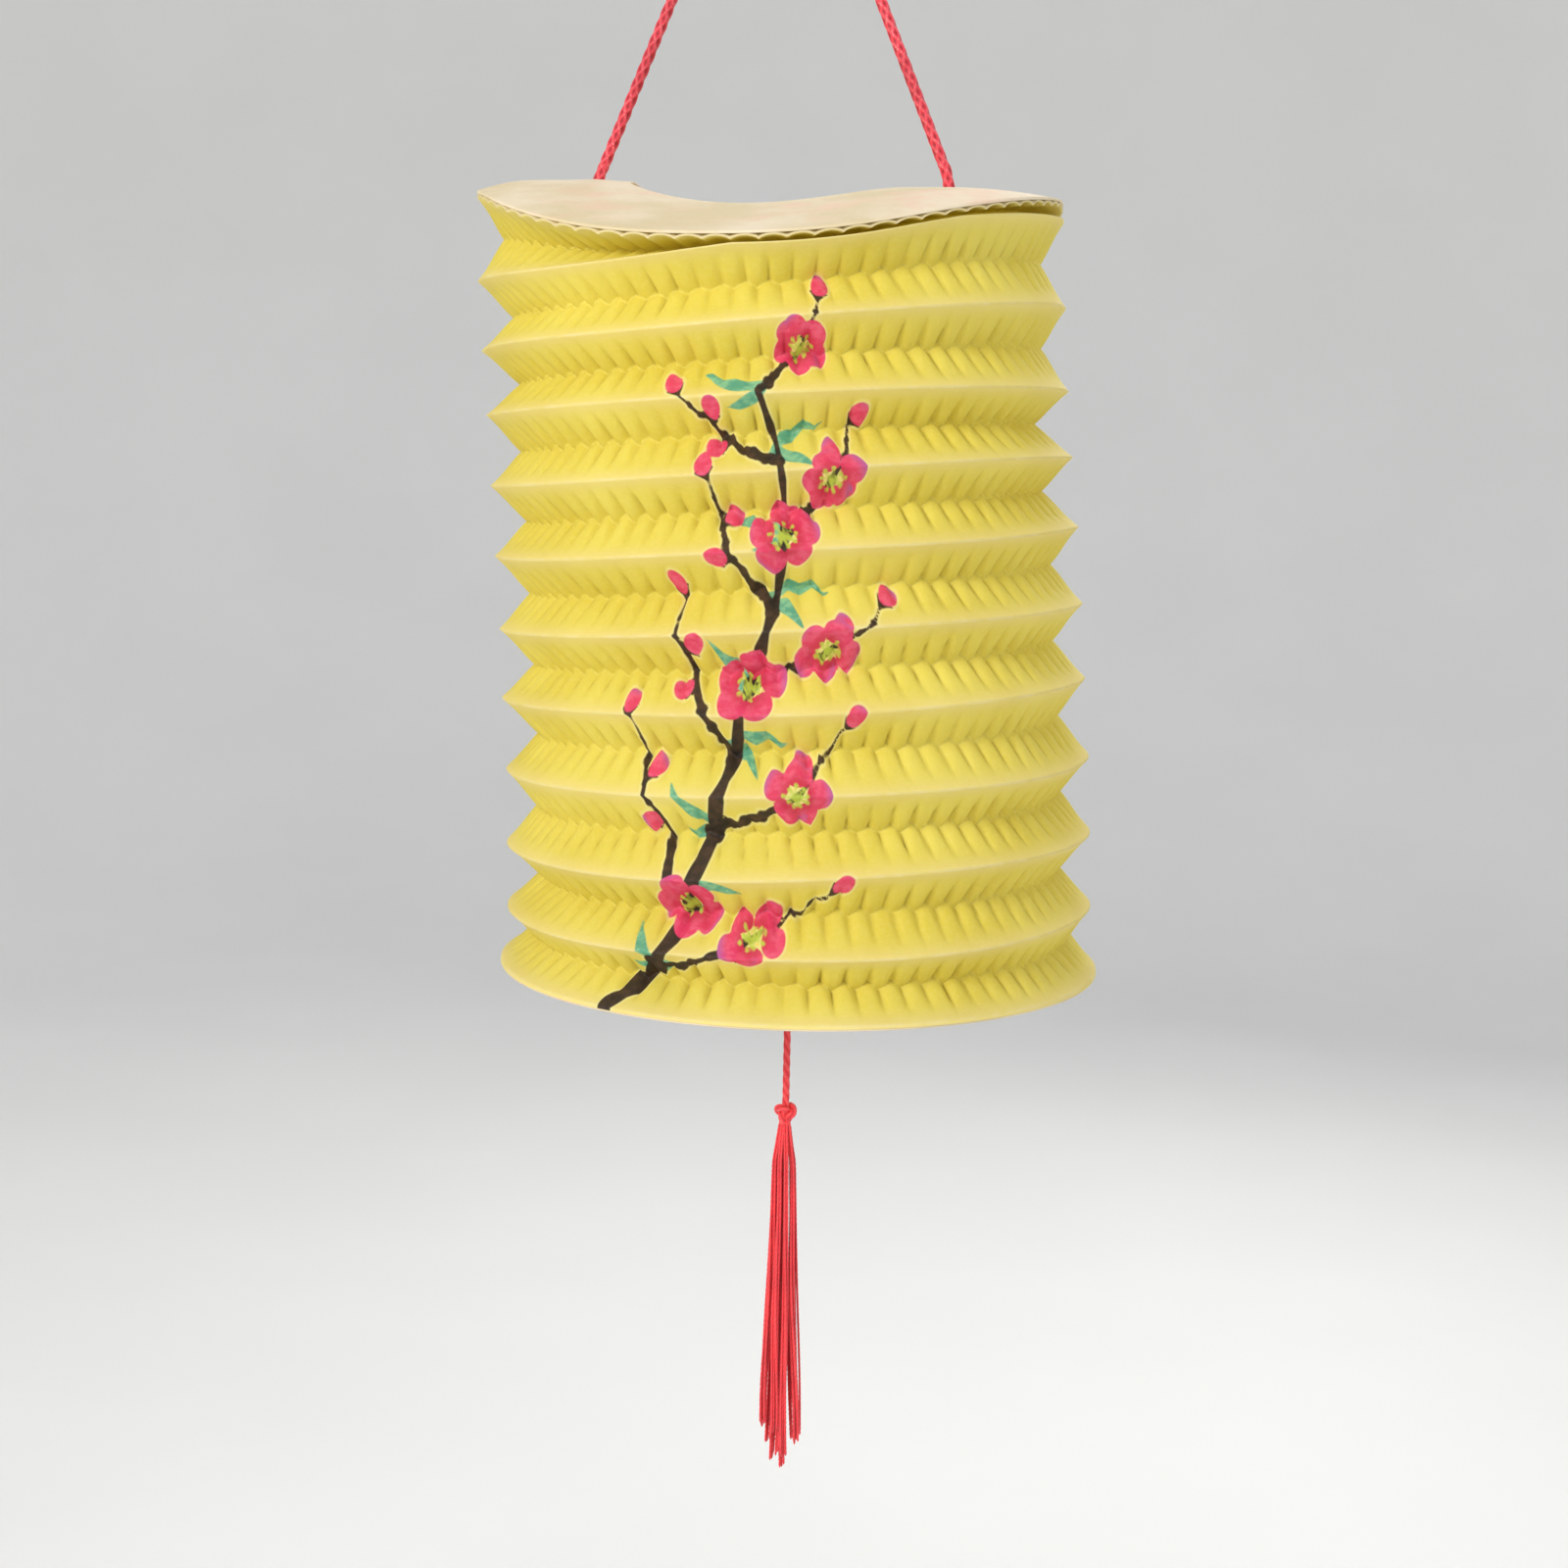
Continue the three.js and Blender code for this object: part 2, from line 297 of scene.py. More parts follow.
# ---- Materials -----------------------------------------------------------------------------------
def paper_look():
    """Thin yellow printed paper: fibre, faint blotches, painted shade in the flute creases, painted
    highlights along the ridges and hem, worn fold lines and the blossom print.
    """
    look = Look("pleated_paper")
    blotches = look.noise(28, detail=3)
    fibre = look.noise(900, detail=6, roughness=0.7)
    yellow = look.mix(look.span(blotches, 0.3, 0.7), PAPER_DEEP, PAPER_PALE)
    yellow = look.mix(look.span(fibre, 0.35, 0.75, 0.0, 0.22), yellow, PAPER_FIBRE)
    # painted shade in the flute creases, deeper where the flutes are deeper
    creased = look.mix(look.math("MULTIPLY", look.attribute("crease"), 0.55), yellow, CREASE_SHADE)
    # painted highlight along the ridges and the hem
    faded = look.mix(look.math("MULTIPLY", look.attribute("fade"), 0.42), creased, EDGE_HIGHLIGHT)
    patchy = look.span(look.noise(160, detail=3), 0.38, 0.62, 0.05, 0.32)
    worn = look.mix(look.math("MULTIPLY", look.attribute("fold"), patchy), faded, WORN_FOLD)
    worn = look.mix(look.math("MULTIPLY", look.attribute("seam"), 0.6), worn, SEAM_GLUE)

    grain = look.noise(420, detail=3)
    tint = look.span(grain, 0.38, 0.66)
    halo = look.span(look.attribute("ink_edge"), 0.9, 0.25, 0.0, 0.5)
    inked = look.mix(halo, worn, INK_HALO)
    for name, dark, light in INKS:
        ink = look.mix(tint, dark, light)
        if name == "ink_petal":
            tip = look.math("MULTIPLY", look.attribute("petal_tip"), look.span(blotches, 0.38, 0.55))
            ink = look.mix(tip, ink, PETAL_TIP)
            root = look.math("MULTIPLY", look.attribute("petal_root"), 0.7)
            ink = look.mix(root, ink, PETAL_ROOT)
        cover = look.span(look.attribute(name), 0.2, -0.2, 0.0, 0.98)
        inked = look.mix(cover, inked, ink)
    stamens = look.span(look.attribute("ink_stamen"), 0.25, -0.2, 0.0, 0.9)
    inked = look.mix(stamens, inked, STAMEN)
    inked = look.mix(look.attribute("cut_edge"), inked, CUT_EDGE)

    surface = look.bump(fibre, 0.25, 0.00025)
    normal = look.bump(look.noise(130, detail=3), 0.3, 0.0008, under=surface)
    rough = look.span(fibre, 0.3, 0.8, 0.62, 0.78)
    front = look.principled(inked, rough, normal)
    through = look.node("ShaderNodeBsdfTranslucent")
    look.feed(through.inputs["Color"], inked)
    look.feed(through.inputs["Normal"], normal)
    both = look.node("ShaderNodeMixShader")
    look.feed(both.inputs[0], THROUGH_SHARE)
    look.feed(both.inputs[1], front)
    look.feed(both.inputs[2], through.outputs[0])
    return look.finish(both.outputs[0])


def card_look():
    """Uncoated cream card with soft pink and yellow mottling and short fibres."""
    look = Look("card")
    mottle = look.noise(35, detail=4)
    fibre = look.noise(700, detail=6, roughness=0.7, stretch=(1, 0.35, 1))
    cream = look.mix(look.span(mottle, 0.35, 0.65), CARD_DEEP, CARD_PALE)
    cream = look.mix(look.span(look.noise(60, detail=2), 0.48, 0.72, 0.0, 0.6), cream, CARD_PINK)
    cream = look.mix(look.span(fibre, 0.55, 0.8, 0.0, 0.3), cream, CARD_FIBRE)
    normal = look.bump(fibre, 0.35, 0.0002)
    return look.finish(look.principled(cream, look.span(fibre, 0.3, 0.8, 0.7, 0.88), normal))


def yarn_look(name, groove_shade_and_blotch, main, light, fuzz_scale):
    """Spun yarn: painted shade between the plies, painted highlights on their tops, random darker blotches
    and fine fuzz.
    """
    look = Look(name)
    fuzz = look.noise(fuzz_scale, detail=5, roughness=0.7)
    raised = look.attribute("raised")
    # painted shade in the grooves between the plies
    colour = look.mix(look.span(raised, 0.0, 0.65), groove_shade_and_blotch, main)
    # painted highlight on the plies' tops, broken up by the fuzz
    top = look.math("MULTIPLY", look.span(raised, 0.6, 1.0), look.span(fuzz, 0.4, 0.7))
    colour = look.mix(top, colour, light)
    # random darker blotches in the yarn's own tone
    colour = look.mix(look.span(look.noise(90, detail=2), 0.35, 0.7, 0.0, 0.35), colour, groove_shade_and_blotch)
    normal = look.bump(fuzz, 0.5, 0.0002)
    rough = look.span(fuzz, 0.3, 0.8, 0.5, 0.72)
    return look.finish(
        look.principled(colour, rough, normal, Sheen_Weight=0.25, Sheen_Roughness=0.4)
    )


def floor_look():
    look = Look("studio_floor")
    tone = look.mix(look.span(look.noise(3, detail=2), 0.3, 0.7), FLOOR_DEEP, FLOOR_PALE)
    return look.finish(look.principled(tone, 0.9))


PAPER = paper_look()
CARD_LOOK = card_look()
# each yarn's colours: painted groove shade, its own red, painted ply highlight
BRAID = yarn_look("cord_braid", (0.30, 0.006, 0.018), (0.74, 0.036, 0.062), (0.94, 0.30, 0.31), 1500)
THREAD = yarn_look("tassel_thread", (0.48, 0.010, 0.020), (0.88, 0.036, 0.050), (0.95, 0.20, 0.19), 2200)


# ---- The camera ----------------------------------------------------------------------------------
def add_camera():
    """The lantern's middle is a little below eye level: a level camera with its frame shifted down."""
    distance = 600.0
    below_crest = 81.9
    aside = 5.3
    roll = math.radians(1.2)
    made = bpy.data.objects.new("camera", bpy.data.cameras.new("camera"))
    bpy.context.scene.collection.objects.link(made)
    made.location = Vector((aside, -distance, RING_Z - below_crest)) * MM
    made.rotation_euler = (Matrix.Rotation(math.pi / 2, 3, "X") @ Matrix.Rotation(roll, 3, "Z")).to_euler()
    made.data.lens = 50.7
    made.data.sensor_width = 36.0
    made.data.shift_y = -0.19
    bpy.context.scene.camera = made


add_camera()


# ---- The print -----------------------------------------------------------------------------------
# Places on the paper are (along, up): millimetres round the lantern from its front, and up from its base.
FAR = 5.0  # as far outside an ink shape as the distances need to reach

# The spray is grown by rule: one arching branch, and side branches that leave it left and right in turn.
BRANCH_POINTS = 10
KNOTTY = 13.0  # degrees a branch swings to and fro as it grows
THINNING = 0.72  # how much of its width a branch loses by its tip
UNEVEN = 0.2  # spread of a branch's width along its stroke
KNOT_LONG, KNOT_WIDE, KNOT_MORE = 1.5, 1.1, 0.2  # a knot's half axes: by the branch's half width, plus mm
MAIN_START, MAIN_HEADING, MAIN_TURN = (-50.0, 1.0), 46.0, 52.0
MAIN_LENGTH, MAIN_HALF = 164.0, 2.3
SIDES = BRANCH_POINTS - 1  # side branches, one from each point but the first
SIDE_SPREAD, SIDE_RISE = 52.0, 30.0  # degrees off the branch they leave, and how far they turn back up
SIDE_LENGTH, SIDE_HALF = 50.0, 1.2
SIDE_SHORTENING = 0.45  # how much shorter the last side branch is than the first
BUD_SHARES = (0.42, 0.72, 1.0)  # where buds stand along a side branch
BUD_LENGTH, BUD_AWAY, BUD_SPREAD = 6.5, 4.0, 60.0  # millimetres, millimetres and degrees off the branch
MAIN_BLOSSOMS = (2, 5, 7)  # the main branch's points that carry a blossom
MAIN_BLOSSOM, SIDE_BLOSSOM = 10.5, 9.5  # radii
PETALS = 5
BLOSSOM_LEAN = 40.0  # degrees its squashed side may turn either way
BLOSSOM_SQUASH = 0.84  # a blossom's height over its width, as if seen a little from the side
LEAF_PAIR, LEAF_HALF = ((75, 17), (115, 12)), 1.5  # (degrees off the branch, length) of the leaves at a fork


def smooth_line(points, steps=4):
    """A stroke's points joined by a smooth curve."""
    points = np.array(points, float)
    ends = np.vstack([2 * points[0] - points[1], points, 2 * points[-1] - points[-2]])
    out = []
    for a, b, c, d in zip(ends, ends[1:], ends[2:], ends[3:]):
        for t in np.arange(steps) / steps:
            square = (2 * a - 5 * b + 4 * c - d) * t**2
            cube = (3 * b - a - 3 * c + d) * t**3
            out.append(0.5 * (2 * b + (c - a) * t + square + cube))
    out.append(points[-1])
    return np.array(out)


class Ink:
    """Signed distances from every paper point to the printed shapes, negative inside."""

    def __init__(self, along, up):
        self.along, self.up = along, up
        self.layers = {name: np.full(along.shape, FAR) for name in ("leaf", "wood", "petal", "stamen")}
        self.tip = np.zeros(along.shape)
        self.root = np.zeros(along.shape)

    def near(self, along, up, reach):
        return (abs(self.along - along) < reach) & (abs(self.up - up) < reach)

    def stroke(self, layer, points):
        for a, b in zip(points, points[1:]):
            middle = (a + b) / 2
            reach = np.abs(b[:2] - a[:2]).max() / 2 + max(a[2], b[2]) + FAR
            chosen = self.near(middle[0], middle[1], reach)
            x, y = self.along[chosen] - a[0], self.up[chosen] - a[1]
            d = b[:2] - a[:2]
            t = np.clip((x * d[0] + y * d[1]) / max(d @ d, 1e-9), 0, 1)
            away = np.hypot(x - t * d[0], y - t * d[1]) - (a[2] + (b[2] - a[2]) * t)
            self.layers[layer][chosen] = np.minimum(self.layers[layer][chosen], away)

    def egg(self, layer, centre, angle, length, width):
        """An ellipse, long along angle. Returns the points near it and how far inside they are."""
        chosen = self.near(centre[0], centre[1], length + FAR)
        x, y = self.along[chosen] - centre[0], self.up[chosen] - centre[1]
        c, s = math.cos(angle), math.sin(angle)
        scaled = np.hypot((x * c + y * s) / length, (y * c - x * s) / width)
        away = (scaled - 1) * width
        self.layers[layer][chosen] = np.minimum(self.layers[layer][chosen], away)
        return chosen, away

    def blossom(self, along, up, radius, turn, squash, lay):
        """Five round petals with a bare middle and a spray of stamens."""
        lay = math.radians(lay)
        c, s = math.cos(lay), math.sin(lay)

        def placed(x, y):
            across, high = x * c + y * s, (y * c - x * s) * squash
            return np.array([along + across * c - high * s, up + across * s + high * c])

        for k in range(PETALS):
            angle = math.radians(turn + rng.uniform(-6, 6)) + 2 * math.pi * k / PETALS
            size = radius * rng.uniform(0.85, 1.1)
            centre = placed(0.58 * size * math.cos(angle), 0.58 * size * math.sin(angle))
            outward = centre - (along, up)
            lean = math.atan2(outward[1], outward[0])
            long, wide = 0.56 * np.hypot(*outward), 0.4 * size * math.sqrt(squash)
            chosen, away = self.egg("petal", centre, lean, long, wide)
            reach = np.hypot(self.along[chosen] - along, self.up[chosen] - up) / radius
            inside = away < 0.4
            tip = np.where(inside, smoothstep(0.66, 0.98, reach), 0)
            root = np.where(inside, 1 - smoothstep(0.34, 0.55, reach), 0)
            self.tip[chosen] = np.maximum(self.tip[chosen], tip)
            self.root[chosen] = np.maximum(self.root[chosen], root)
        for k in range(9):
            angle = 2 * math.pi * (k + 0.4 * rng.uniform()) / 9
            far = radius * rng.uniform(0.24, 0.38)
            start, end = placed(0, 0), placed(far * math.cos(angle), far * math.sin(angle))
            self.stroke("stamen", np.array([(*start, 0.3), (*end, 0.22)]))
            self.egg("stamen", end, 0.0, 0.55, 0.55)

    def bud(self, along, up, length, direction):
        """One closed petal on a dark calyx of two short strokes."""
        angle = math.radians(direction)
        ahead = np.array([math.cos(angle), math.sin(angle)])
        side = np.array([-ahead[1], ahead[0]])
        place = np.array([along, up])
        chosen, away = self.egg("petal", place, angle, 0.44 * length, 0.35 * length)
        front = (self.along[chosen] - along) * ahead[0] + (self.up[chosen] - up) * ahead[1]
        tip = np.where(away < 0.4, smoothstep(0.1, 0.5, front / length), 0)
        self.tip[chosen] = np.maximum(self.tip[chosen], tip)
        base = place - 0.52 * length * ahead
        for swing in (-0.32, 0.32):
            top = base + 0.3 * length * ahead + swing * length * side
            self.stroke("wood", np.array([(*base, 0.75), (*top, 0.3)]))

    def leaf(self, along, up, length, direction, half):
        """A pointed leaf with a slight curve."""
        angle = math.radians(direction)
        points = []
        for t, width in ((0, 0.25), (0.25, 0.8), (0.5, 1.0), (0.78, 0.6), (1.0, 0.08)):
            bend = 0.12 * length * math.sin(math.pi * t)
            x = along + t * length * math.cos(angle) - bend * math.sin(angle)
            y = up + t * length * math.sin(angle) + bend * math.cos(angle)
            points.append((x, y, half * width))
        self.stroke("leaf", smooth_line(points))


def grow(start, heading, length, turn, half):
    """A branch's (along, up, half width) points and its heading at each: a knotty arc that thins out."""
    x, y = start
    step = length / (BRANCH_POINTS - 1)
    points, headings = [], []
    for i in range(BRANCH_POINTS):
        share = i / (BRANCH_POINTS - 1)
        way = heading + turn * share + KNOTTY * rng.uniform(-1, 1)
        points.append((x, y, half * (1 - THINNING * share)))
        headings.append(way)
        x += step * math.cos(math.radians(way))
        y += step * math.sin(math.radians(way))
    return np.array(points), headings


def draw_branch(ink, points):
    """A brush stroke of uneven width, with a knot at each point between its ends."""
    line = smooth_line(points)
    line[:, 2] *= 1 + UNEVEN * rng.normal(size=len(line)).clip(-1.5, 1.5)
    ink.stroke("wood", line)
    for x, y, half in points[1:-1]:
        long, wide = KNOT_LONG * half + KNOT_MORE, KNOT_WIDE * half + KNOT_MORE
        ink.egg("wood", (x, y), rng.uniform(0, math.pi), long, wide)


def draw_blossom(ink, place, radius):
    """A blossom turned and tilted at random."""
    turn, lean = rng.uniform(0, 360 / PETALS), rng.uniform(-BLOSSOM_LEAN, BLOSSOM_LEAN)
    ink.blossom(place[0], place[1], radius, turn, BLOSSOM_SQUASH, lean)


def draw_side(ink, start, heading, side, number):
    """A side branch with buds left and right of it in turn, and a blossom on every second one."""
    length = SIDE_LENGTH * (1 - SIDE_SHORTENING * number / (SIDES - 1))
    points, headings = grow(start, heading + side * SIDE_SPREAD, length, -side * SIDE_RISE, SIDE_HALF)
    draw_branch(ink, points)
    for k, share in enumerate(BUD_SHARES):
        at = round(share * (BRANCH_POINTS - 1))
        out = headings[at] + (BUD_SPREAD if (k + number) % 2 else -BUD_SPREAD) * (share < 1)
        x = points[at][0] + BUD_AWAY * math.cos(math.radians(out))
        y = points[at][1] + BUD_AWAY * math.sin(math.radians(out))
        ink.bud(x, y, BUD_LENGTH, out)
    if number % 2 == 0:
        draw_blossom(ink, points[BRANCH_POINTS // 2], SIDE_BLOSSOM)
    for swing, long in LEAF_PAIR:
        ink.leaf(points[1][0], points[1][1], long, heading - side * swing, LEAF_HALF)


def draw_print(along, up):
    """A generic blossom spray. along covers half the way round, so the back repeats the front."""
    ink = Ink(along, up)
    main, headings = grow(MAIN_START, MAIN_HEADING, MAIN_LENGTH, MAIN_TURN, MAIN_HALF)
    draw_branch(ink, main)
    for number in range(SIDES):
        side = 1 if number % 2 else -1
        draw_side(ink, main[number + 1][:2], headings[number + 1], side, number)
    for at in MAIN_BLOSSOMS:
        draw_blossom(ink, main[at], MAIN_BLOSSOM)
    return ink


# ---- The bellows ---------------------------------------------------------------------------------
def ring_bend(x, y):
    """How far the card hangs below its crest, x being along the line through the cord holes."""
    out = np.minimum(1, np.abs(y) / RING_R)
    sag = 4 * out * (1 - out) * np.exp(-((x / SAG_WIDTH) ** 2))
    flat = np.where(x < 0, FLAT_LEFT, FLAT_RIGHT)
    sideways = np.maximum(0, np.abs(x) - flat) / (RING_R - flat)
    twist = np.clip(x / CORD_HOLE_X, -1, 1) * np.exp(-((y / TWIST_WIDTH) ** 2))
    return -RING_FOLD * out**1.6 - RING_SAG * sag - RING_SIDE * sideways**2 - RING_TWIST * twist


def bend_under(x, y):
    """The card's bend under a point of the row frame."""
    c, s = math.cos(CORD_TURN), math.sin(CORD_TURN)
    return ring_bend(x * c + y * s, y * c - x * s)


def level_shift(level):
    """How far a level has drifted to the right."""
    return DISC_X * math.sin(math.pi / 2 * level / LEVELS) ** 1.5


def ridge_line(level, angle):
    """Radius and height of a ridge at each angle, and how far its middle is moved along X."""
    radius = np.full_like(angle, RIDGE_R)
    bend = bend_under(RIDGE_R * np.cos(angle), RIDGE_R * np.sin(angle))
    z = -sum(RIDGE_DROPS[:level]) + RIDGE_TILTS[level] * np.cos(angle) + BENT_SHARES[level] * bend
    if level == 0:
        radius += 0.35
        z -= CARD + 0.1 + EDGE_WAVE / 2 * (1 - flute_wave(0.92 * FLUTES * angle + wander(angle, 1.5))) + LIP
    elif level == LEVELS:
        radius += DISC_R - RIDGE_R + 0.05
        z += 0.05
    else:
        radius += wander(angle, 0.35)
        z += wander(angle, 0.45)
    if level == 1:
        closed = bend - CARD - EDGE_WAVE - LIP - 0.5  # it can't rise into the card's edge
        z = np.minimum(z, closed)
    return radius, z, level_shift(level)


def flute_wave(phase):
    """Round lobes with a sharp crease between them, from -1 at the crease to 1."""
    return 2 * np.abs(np.cos(phase / 2)) ** 0.55 - 1


def flute_amplitude(angle, gap, facet):
    """Depth of the flutes round one valley: it differs from flute to flute, and a fold that is shut or
    pulled flat has hardly any."""
    own = FLUTE_DEPTH * (1 + 0.22 * rng.normal(size=FLUTES).clip(-2, 2))
    place = angle / (2 * math.pi) * FLUTES
    low = np.floor(place).astype(int)
    t = place - low
    blend = t * t * (3 - 2 * t)
    depth = own[low % FLUTES] * (1 - blend) + own[(low + 1) % FLUTES] * blend
    shut = np.clip(gap / 9, 0.12, 1)
    pulled = np.clip((2 * facet - gap) / 5, 0.25, 1)
    return depth * shut * pulled


def facet_rows():
    """Shares of the way from a ridge to a valley, closer together at the folds."""
    t = np.arange(ROWS + 1) / ROWS
    return 0.65 * t + 0.35 * (1 - np.cos(math.pi * t)) / 2


class Bellows:
    """Rows of points from the ring's edge down to the disc, with the numbers the paper's look reads."""

    def __init__(self, angle):
        self.angle = angle
        self.points, self.level = [], []
        self.looks = {name: [] for name in ("crease", "fold", "fade", "cut_edge")}

    def add(self, radius, z, shift, level, **looks):
        behind = (self.angle - SEAM_ANGLE) * RIDGE_R
        lap = np.where((behind >= 0) & (behind < SEAM_LAP), 0.3 * (1 - behind / SEAM_LAP), 0)
        x, y = shift + (radius + lap) * np.cos(self.angle), (radius + lap) * np.sin(self.angle)
        self.points.append(np.column_stack([x, y, RING_Z + z]))
        self.level.append(np.full_like(self.angle, level))
        for name, rows in self.looks.items():
            rows.append(np.broadcast_to(looks.get(name, 0.0), self.angle.shape))

    def facet(self, number, upper, ridges, valley, flutes, length):
        """One facet of fold number: from its upper ridge to the valley, or from the valley to the lower."""
        r_ridge, z_ridge, x_ridge = ridges[number if upper else number + 1]
        r_valley, z_valley, x_valley = valley
        phase, slant, amplitude, cosine, sine = flutes
        last = number == LEVELS - 1
        for s in facet_rows() if upper else facet_rows()[-2::-1]:
            if not upper and s == 0 and not last:
                continue  # the next fold begins with this ridge
            here = phase + slant * (1 - s) * (1 if upper else -1)
            above, below = flute_wave(here), flute_wave(here + math.pi)
            shown = smoothstep(0.12, 0.88, s)
            out = amplitude * (above + below) / (2 * cosine) * shown
            rise = amplitude * (below - above) / (2 * sine) * shown
            # painted shade where the flutes crease
            crease = smoothstep(-0.1, -0.9, above if upper else below) * shown
            self.add(
                r_ridge + (r_valley - r_ridge) * s + out,
                z_ridge + (z_valley - z_ridge) * s + rise,
                x_ridge + (x_valley - x_ridge) * s,
                number + (s / 2 if upper else 1 - s / 2),
                crease=crease * np.clip(2 * amplitude, 0, 1),
                fold=math.exp(-((s * length / 0.5) ** 2)),
                # painted highlight near the ridge
                fade=math.exp(-((s * length / 3.2) ** 2)),
            )

    def fold(self, number, ridges):
        (r_up, z_up, x_up), (r_low, z_low, x_low) = ridges[number], ridges[number + 1]
        length = {0: FIRST_FACET, LEVELS - 1: LAST_FACET}.get(number, FACET)
        gap = np.maximum(z_up - z_low, 0.4)
        depth = np.sqrt(np.maximum(length**2 - (gap / 2) ** 2, 4.0))
        valley = (r_up + r_low) / 2 - depth, (z_up + z_low) / 2, (x_up + x_low) / 2
        phase = FLUTES * self.angle + rng.uniform(0, 2 * math.pi) + wander(self.angle, 0.8)
        slant = 0.5 * rng.normal() + wander(self.angle, 0.6)
        amplitude = flute_amplitude(self.angle, gap, length)
        cosine = np.maximum(gap / 2 / length, 0.4)
        sine = np.maximum(depth / length, 0.5)
        for upper in (True, False):
            self.facet(number, upper, ridges, valley, (phase, slant, amplitude, cosine, sine), length)

    def build(self):
        ridges = [ridge_line(level, self.angle) for level in range(LEVELS + 1)]
        radius, z, shift = ridges[0]
        glued = radius - GLUE_BAND
        under_card = bend_under(glued * np.cos(self.angle), glued * np.sin(self.angle)) - CARD - 0.1
        self.add(glued, under_card, shift, 0)
        self.add(radius, z + LIP, shift, 0, cut_edge=0.9)
        self.add(radius, z + 0.1, shift, 0, cut_edge=0.9)
        for number in range(LEVELS):
            self.fold(number, ridges)
        radius, z, shift = ridges[-1]
        # painted highlight on the hem over the disc's edge
        self.add(radius + 0.1, z - HEM + 0.2, shift, LEVELS, fade=1.0)
        self.add(radius + 0.1, z - HEM, shift, LEVELS, cut_edge=0.9)


def add_bellows():
    angle = np.arange(FLUTES * COLUMNS) * 2 * math.pi / (FLUTES * COLUMNS)
    paper = Bellows(angle)
    paper.build()
    rows = len(paper.points)
    body = make_mesh("accordion_paper_pleated", np.vstack(paper.points), grid_faces(rows, len(angle)), PAPER)
    for name, values in paper.looks.items():
        point_values(body, name, np.concatenate(values))
    half_round = math.pi * RIDGE_R
    from_front = (np.tile(angle, rows) + math.pi / 2) * RIDGE_R
    along = (from_front + half_round / 2) % half_round - half_round / 2
    up = (LEVELS - np.concatenate(paper.level)) * (RING_Z - DISC_Z) / LEVELS
    ink = draw_print(along, up)
    for name, values in ink.layers.items():
        point_values(body, "ink_" + name, values)
    point_values(body, "ink_edge", np.minimum(ink.layers["wood"], ink.layers["petal"]))
    point_values(body, "petal_tip", ink.tip)
    point_values(body, "petal_root", ink.root)
    seam = np.exp(-(((np.tile(angle, rows) - SEAM_ANGLE) * RIDGE_R / 0.5) ** 2))
    point_values(body, "seam", seam)
    ride_and_replace(body, "lantern_top", "pleated_paper", "accordion_paper")
    squash_with_fold(body)


def squash_with_fold(piece):
    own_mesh(piece)


# ---- Card ring and disc --------------------------------------------------------------------------
CORD_PULL, PULL_WIDTH = 0.5, 5  # the cord's pull lifts the card round its hole
PULL_ROOM = 0.25  # taken off the card's top for it


def circle(radius, count, x=0.0, turn=0.0):
    a = np.arange(count) * 2 * math.pi / count + turn
    return np.column_stack([x + radius * np.cos(a), radius * np.sin(a)])


def card_sheet(name, outer, holes, spacing, thickness, bend, look):
    """A flat card with round holes, (x, radius, corners) each, bent by a function."""
    loops = [circle(outer, 360)] + [circle(r, count, x) for x, r, count in holes]
    points, edges = [], []
    for loop in loops:
        first = len(points)
        points += [tuple(p) for p in loop]
        edges += [(first + i, first + (i + 1) % len(loop)) for i in range(len(loop))]
    for x, hole, count in holes:  # closer points round each hole keep its edge smooth
        points += [tuple(p) for p in circle(hole + 0.6, count, x, math.pi / count)]
        points += [tuple(p) for p in circle(hole + 1.6, count, x)]
    r = outer - 0.5 * spacing
    while r > 0.6 * spacing:
        count = max(6, round(2 * math.pi * r / spacing))
        for p in circle(r, count, 0.0, 0.37 * r):
            clear = all(math.hypot(p[0] - x, p[1]) > hole + 2.6 for x, hole, _ in holes)
            if clear:
                points.append(tuple(p))
        r -= spacing
    flat = [Vector(p) for p in points]
    places, _, triangles, *_ = delaunay_2d_cdt(flat, edges, [], 0, 1e-5)
    kept = []
    for face in triangles:
        middle = sum((places[i] for i in face), Vector((0, 0))) / len(face)
        if all(math.hypot(middle.x - x, middle.y) > hole for x, hole, _ in holes):
            kept.append(tuple(face))
    count = len(places)
    flat = np.array([(p.x, p.y) for p in places])
    height = bend(flat[:, 0], flat[:, 1])
    over = np.column_stack([flat, height])
    under = np.column_stack([flat, height - thickness])
    faces = kept + [tuple(i + count for i in reversed(face)) for face in kept]
    seen = {}
    for face in kept:
        for a, b in zip(face, face[1:] + face[:1]):
            seen[(a, b)] = True
    for a, b in seen:
        if (b, a) not in seen:
            faces.append((b, a, a + count, b + count))
    return make_mesh(name, np.vstack([over, under]), faces, look, smooth=False)


def soften_edges(piece, width):
    """A small round on the card's cut edges, and smooth faces elsewhere."""
    bevel = piece.modifiers.new("edge", "BEVEL")
    bevel.width = width * MM
    bevel.segments = 2
    bevel.angle_limit = math.radians(50)
    bevel.limit_method = "ANGLE"
    depsgraph = bpy.context.evaluated_depsgraph_get()
    piece.data = bpy.data.meshes.new_from_object(piece.evaluated_get(depsgraph))
    piece.modifiers.clear()
    for polygon in piece.data.polygons:
        polygon.use_smooth = True


